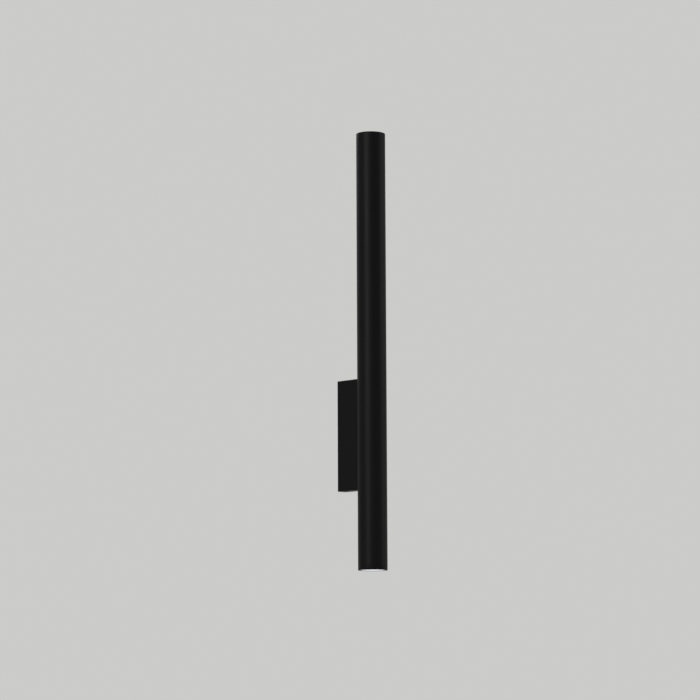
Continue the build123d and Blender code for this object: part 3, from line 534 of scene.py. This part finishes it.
class Recipe(Graph):
    # a geometry tree with a named input for each size
    def __init__(self, name, sizes):
        super().__init__(bpy.data.node_groups.new(name, "GeometryNodeTree"))
        face = self.tree.interface
        face.new_socket("Geometry", in_out="INPUT", socket_type="NodeSocketGeometry")
        face.new_socket("Geometry", in_out="OUTPUT", socket_type="NodeSocketGeometry")
        for label, value in sizes.items():
            kind = "NodeSocketInt" if isinstance(value, int) else "NodeSocketFloat"
            face.new_socket(label, in_out="INPUT", socket_type=kind).default_value = value
        source = self.tree.nodes.new("NodeGroupInput")
        self.end = self.tree.nodes.new("NodeGroupOutput")
        self.places = Wire(self, source.outputs["Geometry"])
        self.sizes = {label: Wire(self, source.outputs[label]) for label in sizes}

    def point(self, x=0.0, y=0.0, z=0.0):
        return self.add("ShaderNodeCombineXYZ", None, {0: x, 1: y, 2: z})

    def named(self, name, kind="FLOAT"):
        return self.add("GeometryNodeInputNamedAttribute", {"data_type": kind}, {"Name": name})

    def corners(self, index, places):
        # an outline's corners by number, each with its radius, height and rounding
        spots, rounds = {0: index}, {0: index}
        for slot, (radius, height, rounding) in enumerate(places, 1):
            spots[slot] = self.point(radius, height)
            rounds[slot] = rounding
        kinds = {"VECTOR": spots, "FLOAT": rounds}
        return [self.add("GeometryNodeIndexSwitch", {"data_type": kind, "items": len(places)}, inputs)
                for kind, inputs in kinds.items()]

    def turned(self, count, spot, rounding, around, outer, closed=True, fine=3):
        # the outline's corners are rounded, and it is carried once round the Z axis
        flipped = self.add("ShaderNodeVectorMath", {"operation": "MULTIPLY_ADD"},
                           {0: spot, 1: (1.0, -1.0, 1.0), 2: self.point(-outer)})
        line = self.add("GeometryNodeMeshLine", None, {"Count": count})
        line = self.add("GeometryNodeSetPosition", None, {"Geometry": line, "Position": flipped})
        line = self.add("GeometryNodeStoreNamedAttribute", {"data_type": "FLOAT", "domain": "POINT"},
                        {"Geometry": line, "Name": "rounding", "Value": rounding})
        curve = self.add("GeometryNodeMeshToCurve", None, {"Mesh": line})
        if closed:
            curve = self.add("GeometryNodeSetSplineCyclic", None, {"Geometry": curve, "Cyclic": True})
        curve = self.add("GeometryNodeFilletCurve", {"mode": "POLY"}, {
            "Curve": curve, "Count": fine, "Radius": self.named("rounding"), "Limit Radius": True})
        path = self.add("GeometryNodeCurvePrimitiveCircle", None, {"Resolution": around, "Radius": outer})
        shell = self.add("GeometryNodeCurveToMesh", None, {"Curve": path, "Profile Curve": curve})
        return self.add("GeometryNodeMergeByDistance", None, {"Geometry": shell, "Distance": weldOutline})

    def moved(self, shape, y=0.0, z=0.0):
        way = self.point(0.0, y, z)
        return self.add("GeometryNodeTransform", None, {"Geometry": shape, "Translation": way})

    def joined(self, *shapes):
        node = self.tree.nodes.new("GeometryNodeJoinGeometry")
        for shape in shapes:
            self.tree.links.new(shape.socket, node.inputs[0])
        return Wire(self, node.outputs[0])

    def united(self, shape, other):
        return self.add("GeometryNodeMeshBoolean", {"operation": "UNION", "solver": "EXACT"},
                        {"Mesh 2": self.joined(shape, other)})

    def cut(self, shape, cutter):
        return self.add("GeometryNodeMeshBoolean", {"operation": "DIFFERENCE", "solver": "EXACT"},
                        {"Mesh 1": shape, "Mesh 2": cutter})

    def either(self, kind, switch, yes, no):
        return self.add("GeometryNodeSwitch", {"input_type": kind},
                        {"Switch": switch, "True": yes, "False": no})

    def atPlaces(self, shape, chosen=True, scale=(1.0, 1.0, 1.0)):
        # one copy at each seed point, with its Z axis along the point's aim
        aim = self.named("aim", "FLOAT_VECTOR")
        turn = self.add("FunctionNodeAlignRotationToVector", {"axis": "Z"}, {"Vector": aim})
        copies = self.add("GeometryNodeInstanceOnPoints", None, {
            "Points": self.places, "Selection": chosen, "Instance": shape,
            "Rotation": turn, "Scale": scale})
        return self.add("GeometryNodeRealizeInstances", None, {"Geometry": copies})

    def finish(self, shape, material):
        shape = self.add("GeometryNodeRealizeInstances", None, {"Geometry": shape})
        shape = self.add("GeometryNodeSetMaterial", None, {"Geometry": shape, "Material": material})
        self.tree.links.new(shape.socket, self.end.inputs["Geometry"])
        return self.tree


def grow(name, tree, sizes, places, replaced, crease=30.0):
    # runs the tree on its seed points and keeps the result as a plain mesh
    seed = bpy.data.meshes.new(name + "Seed")
    seed.from_pydata([place["at"] for place in places], [], [])
    seed.attributes.new("aim", "FLOAT_VECTOR", "POINT")
    seed.attributes.new("bore", "FLOAT", "POINT")
    for number, place in enumerate(places):
        seed.attributes["aim"].data[number].vector = place["aim"]
        seed.attributes["bore"].data[number].value = place.get("bore", 0.0)
    piece = bpy.data.objects.new(name, seed)
    bpy.context.scene.collection.objects.link(piece)
    modifier = piece.modifiers.new("recipe", "NODES")
    modifier.node_group = tree
    for item in tree.interface.items_tree:
        if item.in_out == "INPUT" and item.name in sizes:
            modifier[item.identifier] = sizes[item.name]
    mesh = bpy.data.meshes.new_from_object(piece.evaluated_get(bpy.context.evaluated_depsgraph_get()))
    piece.modifiers.remove(modifier)
    piece.data = mesh
    for helper in ("aim", "bore", "rounding"):
        if helper in mesh.attributes:
            mesh.attributes.remove(mesh.attributes[helper])
    material = next(kept for kept in mesh.materials if kept)
    mesh.materials.clear()
    mesh.materials.append(material)
    mesh.polygons.foreach_set("material_index", [0] * len(mesh.polygons))
    tidy = bmesh.new()
    tidy.from_mesh(mesh)
    bmesh.ops.remove_doubles(tidy, verts=tidy.verts, dist=weldPiece)
    bmesh.ops.recalc_face_normals(tidy, faces=tidy.faces)
    tidy.to_mesh(mesh)
    tidy.free()
    mesh.polygons.foreach_set("use_smooth", [True] * len(mesh.polygons))
    mesh.set_sharp_from_angle(angle=math.radians(crease))
    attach(piece, bodyOf[replaced])
    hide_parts(replaced)
    grown.append(name)
    print(name, "has", len(mesh.polygons), "faces")


threads = {"M3": (0.0015, 0.0005), "M4": (0.002, 0.0007)}  # radius and pitch
screwHeads = {  # a head's radius and height, and how far into it the shank goes, over the thread's radius
    "pan": (1.9, 1.3, 0.3),
    "flat": (1.8, 0.0, -0.3),
    "socket": (1.0, 0.0, 0.0),
}
screwSets = {  # the node, the head, the thread, and the way that the head faces
    "boxScrews": ("box_screws", "pan", "M4", towardsWall),
    "terminalScrews": ("terminal_screws", "pan", "M3", towardsWall),
    "earthScrew": ("earth_screw", "pan", "M3", towardsRoom),
    "earthLugScrew": ("earth_lug_screw", "pan", "M3", towardsRoom),
    "driverScrews": ("driver_screws", "pan", "M3", towardsRoom),
    "moduleScrews": ("module_screws", "flat", "M3", towardsWall),
    "upperHolderScrews": ("upper_holder_screws", "pan", "M3", upwards),
    "lowerHolderScrews": ("lower_holder_screws", "pan", "M3", downwards),
    "clampScrews": ("clamp_screws", "socket", "M4", None),  # one up and one down
}
clampLength = 0.0038
pairWidth = 2.5  # a box wider than this many head radii holds a screw at each end


def screwSeats(node, head, thread, aim):
    # a node's box holds one screw, or two at its far ends: each one's seat, and its length
    wide, tall = (threads[thread][0] * share for share in screwHeads[head][:2])
    seats, length = [[]], 0.0
    for low, high, way in zip(*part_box(node), aim):
        if way:
            ends = [(high if way > 0 else low) - way * tall]
            length = high - low - tall
        elif high - low > wide * pairWidth:
            ends = [low + wide, high - wide]
        else:
            ends = [(low + high) / 2]
        seats = [seat + [end] for seat in seats for end in ends]
    return seats, length


tube = {
    "Outer radius": 0.020,
    "Wall": 0.0015,
    "Bottom": tubeLow,
    "Length": tubeHigh - tubeLow,
    "Lip": 0.0003,  # rounding of both ends
    "Rows": 60,
    "Screw hole": 0.0017,
    "Sink radius": 0.0029,  # of the module screws' countersinks
    "Sink land": 0.0004,
    "Cut": 0.003,  # how far the cutters reach, each way
    "Hole sides": 64,
    "Around": 192,
}
leadHole, boxScrewHole, countersunk = 0.0042, 0.0022, 0.0
tubeHoles = {  # at the back of the tube: the radius at each height
    sum(corner[2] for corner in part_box("lead_bushing")) / 2: leadHole,
    **{seat[2]: boxScrewHole for seat in screwSeats(*screwSets["boxScrews"])[0]},
    **{seat[2]: countersunk for seat in screwSeats(*screwSets["moduleScrews"])[0]},
}
endRows = (0.999, 0.9999)  # only the outline's end rows lie beyond this share of its length


def tubeRecipe():
    recipe = Recipe("tubeRecipe", tube)
    size = recipe.sizes
    outer, rows = size["Outer radius"], size["Rows"]
    # the outline runs up the outside and down the bore, a point at each row
    index = recipe.add("GeometryNodeInputIndex")
    inside = index.math("GREATER_THAN", rows + 0.5)
    row = index - inside * (rows + 1)
    share = abs(row / rows - inside)
    end = (abs(share - 0.5) * 2.0).above(*endRows)
    spot = recipe.point(outer - inside * size["Wall"], size["Bottom"] + share * size["Length"])
    wall = recipe.turned(rows * 2 + 2, spot, end * size["Lip"], size["Around"], outer)
    wall = recipe.moved(wall, y=axisY)
    # round holes are one unit cylinder, scaled to each bore; the others are countersunk
    cut, sides, bore = size["Cut"], size["Hole sides"], recipe.named("bore")
    plain = recipe.add("GeometryNodeMeshCylinder", None, {
        "Vertices": sides, "Radius": 1.0, "Depth": cut * 2.0})
    isPlain = bore.above(0.0, 0.0001)
    holes = recipe.atPlaces(plain, isPlain, recipe.point(bore, bore, 1.0))
    hole, sink, land = size["Screw hole"], size["Sink radius"], size["Sink land"]
    outline = [
        (0.0, cut, 0.0),
        (sink, cut, 0.0),
        (sink, -land, 0.0),
        (hole, hole - sink - land, 0.0),
        (hole, -cut, 0.0),
        (0.0, -cut, 0.0),
    ]
    spot, rounding = recipe.corners(index, outline)
    cutter = recipe.turned(len(outline), spot, rounding, sides, sink, closed=False)
    sinks = recipe.atPlaces(cutter, 1 - isPlain)
    return recipe.finish(recipe.cut(wall, recipe.joined(holes, sinks)), finishes["black_coat"])


grow("tubeShell", tubeRecipe(), tube, [
    {"at": (0.0, axisY + tube["Outer radius"], height), "aim": towardsWall, "bore": bore}
    for height, bore in tubeHoles.items()
], "tube_body")

ring = {
    "Mouth radius": 0.0174,
    "Aperture radius": 0.0146,
    "Outer radius": 0.0184,
    "Neck radius": 0.01675,
    "Inset": 0.0006,  # from the tube's end to the ring
    "Length": 0.0204,
    "Neck": 0.0048,
    "Nose": 0.00022,  # rounding of each step's edge
    "Corner loss": 0.6,  # the corners between the steps are rounded that much less
    "Rim": 0.0003,  # rounding of the outer edge at the mouth
    "Back edge": 0.0001,  # rounding of the edges behind
    "Steps": 8,
    "Around": 160,
}


def ringRecipe():
    recipe = Recipe("glareRingRecipe", ring)
    size = recipe.sizes
    # the outline goes down the steps, two points to each, and then up the outside
    index = recipe.add("GeometryNodeInputIndex")
    half = index * 0.5
    step, riser = half.math("FLOOR"), half.math("FRACT") * 2.0
    tread = (size["Mouth radius"] - size["Aperture radius"]) / (size["Steps"] - 1)
    rise = size["Length"] / size["Steps"]
    stair = recipe.point(size["Mouth radius"] - step * tread, -(size["Inset"] + (step + riser) * rise))
    nose = size["Nose"] * (1 - riser * size["Corner loss"])
    front, back = -size["Inset"], -(size["Inset"] + size["Length"])
    neck, outer = size["Neck radius"], size["Outer radius"]
    outside = [
        (neck, back, size["Back edge"]),
        (neck, back + size["Neck"], 0.0),
        (outer, back + size["Neck"], size["Back edge"]),
        (outer, front, size["Rim"]),
    ]
    spot, rounding = recipe.corners(index - size["Steps"] * 2, outside)
    isOutside = index.math("GREATER_THAN", size["Steps"] * 2 - 0.5)
    spot = recipe.either("VECTOR", isOutside, spot, stair)
    rounding = recipe.either("FLOAT", isOutside, rounding, nose)
    body = recipe.turned(size["Steps"] * 2 + len(outside), spot, rounding, size["Around"], outer)
    return recipe.finish(recipe.atPlaces(body), finishes["satin_aluminium"])


ringTree = ringRecipe()
for end, mouth, outward in (("upper", tubeHigh, upwards), ("lower", tubeLow, downwards)):
    grow(end + "SteppedRing", ringTree, ring, [{"at": (0.0, axisY, mouth), "aim": outward}],
         end + "_glare_ring", 35.0)

# Screws: a threaded shank, and a head with a cross recess or a hexagon socket
screw = {
    "Radius": 0.0015,  # each set of screws has its own radius, length and pitch
    "Length": 0.008,
    "Pitch": 0.0005,
    "Thread depth": 0.6,  # over the pitch
    "Tip": 0.2,  # taper over the radius
    "Rows a turn": 6.0,
    "Shank sides": 24,
    "Head sides": 48,
}
screwLook = {
    "plain": (-0.0003, -0.00005),  # no thread right under the head
    "dome": 0.6,  # rounding of a pan head's upper edge, over its height
    "panEdge": 0.00005,  # and of its lower edge
    "flatEdge": 0.00006,
    "flatRim": 0.0002,  # height of a flat head's rim
    "flatNeck": 0.92,  # a flat head's narrow end, over the thread's radius
    "hexagon": 0.58,  # the socket, over the thread's radius
    "socketDepth": 0.0032,  # half of it is above the face, as with the cross
    "crossLength": 1.1,  # over the head's radius
    "crossWidth": 0.3,
    "crossDepth": 1.8,  # over the thread's radius
    "crossTaper": 0.45,  # how much narrower the cross is at its bottom
    "crossBottom": (-0.0001, 0.0001),  # which is what lies below its middle
}


def screwRecipe(head, material):
    recipe = Recipe(head + "ScrewRecipe", screw)
    size = recipe.sizes
    radius, length, pitch = size["Radius"], size["Length"], size["Pitch"]
    wide, top, start = (radius * share for share in screwHeads[head])
    run = length + start
    shank = recipe.add("GeometryNodeMeshCylinder", {"fill_type": "NGON"}, {
        "Vertices": size["Shank sides"], "Side Segments": run / pitch * size["Rows a turn"],
        "Radius": radius, "Depth": run})
    shank = recipe.moved(shank, z=start - run * 0.5)
    position = recipe.add("GeometryNodeInputPosition")
    place = recipe.outputs(recipe.add("ShaderNodeSeparateXYZ", None, {0: position}))
    angle = place["Y"].math("ARCTAN2", place["X"]) / (2 * math.pi)
    ridge = abs((place["Z"] / pitch - angle).math("FRACT") - 0.5) * 2.0
    under = place["Z"].below(*screwLook["plain"])
    reach = 1 - ridge * under * (size["Thread depth"] * pitch / radius)
    tip = place["Z"].below(-length, size["Tip"] * radius - length) * size["Tip"]
    reach = reach.math("MINIMUM", 1 - tip)
    threaded = recipe.point(place["X"] * reach, place["Y"] * reach, place["Z"])
    shank = recipe.add("GeometryNodeSetPosition", None, {"Geometry": shank, "Position": threaded})
    if head == "socket":
        whole = shank
        recess = recipe.add("GeometryNodeMeshCylinder", None, {
            "Vertices": 6, "Radius": radius * screwLook["hexagon"], "Depth": screwLook["socketDepth"]})
    else:
        rim, neck = screwLook["flatRim"], radius * screwLook["flatNeck"]
        outline = {
            "pan": [
                (0.0, top, 0.0),
                (wide, top, top * screwLook["dome"]),
                (wide, 0.0, screwLook["panEdge"]),
                (0.0, 0.0, 0.0),
            ],
            "flat": [
                (0.0, 0.0, 0.0),
                (wide, 0.0, screwLook["flatEdge"]),
                (wide, -rim, 0.0),
                (neck, neck - wide - rim, 0.0),
                (0.0, neck - wide - rim, 0.0),
            ],
        }[head]
        spot, rounding = recipe.corners(recipe.add("GeometryNodeInputIndex"), outline)
        cap = recipe.turned(len(outline), spot, rounding, size["Head sides"], wide, closed=False, fine=6)
        whole = recipe.united(cap, shank)
        long, slim = wide * screwLook["crossLength"], wide * screwLook["crossWidth"]
        deep = radius * screwLook["crossDepth"]
        arms = [recipe.add("GeometryNodeMeshCube", None, {"Size": recipe.point(x, y, deep)})
                for x, y in ((long, slim), (slim, long))]
        narrow = 1 - place["Z"].below(*screwLook["crossBottom"]) * screwLook["crossTaper"]
        tapered = recipe.point(place["X"] * narrow, place["Y"] * narrow, place["Z"])
        recess = recipe.add("GeometryNodeSetPosition", None, {
            "Geometry": recipe.united(*arms), "Position": tapered})
    recess = recipe.moved(recess, z=top)
    return recipe.finish(recipe.atPlaces(recipe.cut(whole, recess)), material)


for name, (node, head, thread, aim) in screwSets.items():
    if aim:
        seats, length = screwSeats(node, head, thread, aim)
        places = [{"at": seat, "aim": aim} for seat in seats]
    else:
        places = [{"at": screwSeats(node, head, thread, way)[0][0], "aim": way}
                  for way in (upwards, downwards)]
        length = clampLength
    radius, pitch = threads[thread]
    sizes = {**screw, "Radius": radius, "Length": length, "Pitch": pitch}
    grow(name, screwRecipe(head, finishes[slotOf[node]]), sizes, places, node)
print("pieces made:", len(grown))

# The room: pale floor, pale surroundings and soft lamps

room = {
    "floor": -0.62,  # below the wall mount
    "reach": 40.0,
    "pale": (0.78, 0.775, 0.76),
    "surround": (0.60, 0.60, 0.59),  # as it is seen
    "daylight": (0.985, 0.99, 1.0),  # as it lights the object
    "surroundLight": 0.77,
    "fade": (0.8, 2.4),  # the floor turns into the surroundings between these distances
}


def paleFloor():
    finish = Finish("paleFloor")
    cloud = finish.noise(3.0, detail=3.0)
    fine = finish.noise(220.0, detail=3.0)
    finish.bump(fine, distance=0.0003, strength=0.3)
    rays = finish.outputs(finish.add("ShaderNodeLightPath"))
    seen = rays["Is Camera Ray"] + rays["Is Glossy Ray"] + rays["Is Transmission Ray"]
    far = (finish.x * finish.x + finish.y * finish.y) ** 0.5
    under = finish.add("ShaderNodeNewGeometry", output=6)  # from below, the floor isn't in the way
    near = Wire(finish, finish.shader.outputs[0])
    plain = finish.add("ShaderNodeEmission", None, {"Color": room["surround"], "Strength": 1.0})
    clear = finish.add("ShaderNodeBsdfTransparent")
    near = finish.add("ShaderNodeMixShader", None, {0: far.above(*room["fade"]) * seen, 1: near, 2: plain})
    near = finish.add("ShaderNodeMixShader", None, {0: under * rays["Is Camera Ray"], 1: near, 2: clear})
    end = next(node for node in finish.tree.nodes if node.type == "OUTPUT_MATERIAL")
    finish.tree.links.new(near.socket, end.inputs["Surface"])
    return finish.set(
        base_color=finish.mix(cloud, shaded(room["pale"], 0.96), room["pale"]),
        roughness=0.62 + fine * 0.1,
        specular=0.2,
    )


floorMesh = bpy.data.meshes.new("floor")
corners = [(x * room["reach"], y * room["reach"], room["floor"])
           for x, y in ((-1, -1), (1, -1), (1, 1), (-1, 1))]
floorMesh.from_pydata(corners, [], [(0, 1, 2, 3)])
floor = bpy.data.objects.new("floor", floorMesh)
bpy.context.scene.collection.objects.link(floor)
floorMesh.materials.append(paleFloor())

world = bpy.data.worlds.new("paleSurround")
world.use_nodes = True
bpy.context.scene.world = world
sky = Graph(world.node_tree)
for old in list(world.node_tree.nodes):
    world.node_tree.nodes.remove(old)
rays = sky.outputs(sky.add("ShaderNodeLightPath"))
seen = rays["Is Camera Ray"] + rays["Is Glossy Ray"] + rays["Is Transmission Ray"]
light = sky.add("ShaderNodeBackground", None, {
    "Color": room["daylight"], "Strength": room["surroundLight"]})
plain = sky.add("ShaderNodeBackground", None, {"Color": room["surround"], "Strength": 1.0})
both = sky.add("ShaderNodeMixShader", None, {0: seen, 1: light, 2: plain})
worldEnd = world.node_tree.nodes.new("ShaderNodeOutputWorld")
world.node_tree.links.new(both.socket, worldEnd.inputs["Surface"])

lamps = {
    "keyLamp": {"place": (-5.8, -1.1, 1.9), "size": (1.4, 3.6), "power": 42.0},
    "fillLamp": {"place": (4.8, -4.4, 1.5), "size": (2.4, 3.6), "power": 14.0},
    "backLamp": {"place": (1.6, 4.8, 3.2), "size": (3.2, 2.4), "power": 24.0},
}
lampTarget, lampSpread = Vector((0.0, -0.04, 0.115)), 75.0
for name, lampFacts in lamps.items():
    light = bpy.data.lights.new(name, "AREA")
    light.shape = "RECTANGLE"
    light.size, light.size_y = lampFacts["size"]
    light.energy = lampFacts["power"]
    light.spread = math.radians(lampSpread)
    stand = bpy.data.objects.new(name, light)
    place = Vector(lampFacts["place"])
    turn = (lampTarget - place).to_track_quat("-Z", "Y").to_matrix().to_4x4()
    stand.matrix_world = Matrix.Translation(place) @ turn
    bpy.context.scene.collection.objects.link(stand)

# The camera stands low and to the left, and looks slightly up

cameraFacts = {
    "place": (-2.5988, -2.6967, -0.3717),
    "yaw": 44.127,
    "pitch": 7.484,
    "roll": -0.238,
    "lens": 140.78,
    "sensor": 36.0,
}
yaw, pitch, roll = (math.radians(cameraFacts[name]) for name in ("yaw", "pitch", "roll"))
forward = Vector((math.sin(yaw) * math.cos(pitch), math.cos(yaw) * math.cos(pitch), math.sin(pitch)))
right = Vector((math.cos(yaw), -math.sin(yaw), 0.0))
up = right.cross(forward)
side = math.cos(roll) * right + math.sin(roll) * up
above = math.cos(roll) * up - math.sin(roll) * right
optics = bpy.data.cameras.new("camera")
optics.lens = cameraFacts["lens"]
optics.sensor_width = cameraFacts["sensor"]
camera = bpy.data.objects.new("camera", optics)
turn = Matrix((side, above, -forward)).transposed().to_4x4()
camera.matrix_world = Matrix.Translation(Vector(cameraFacts["place"])) @ turn
bpy.context.scene.collection.objects.link(camera)
bpy.context.scene.camera = camera
bpy.context.scene.view_settings.view_transform = "Standard"
print("room and camera ready")
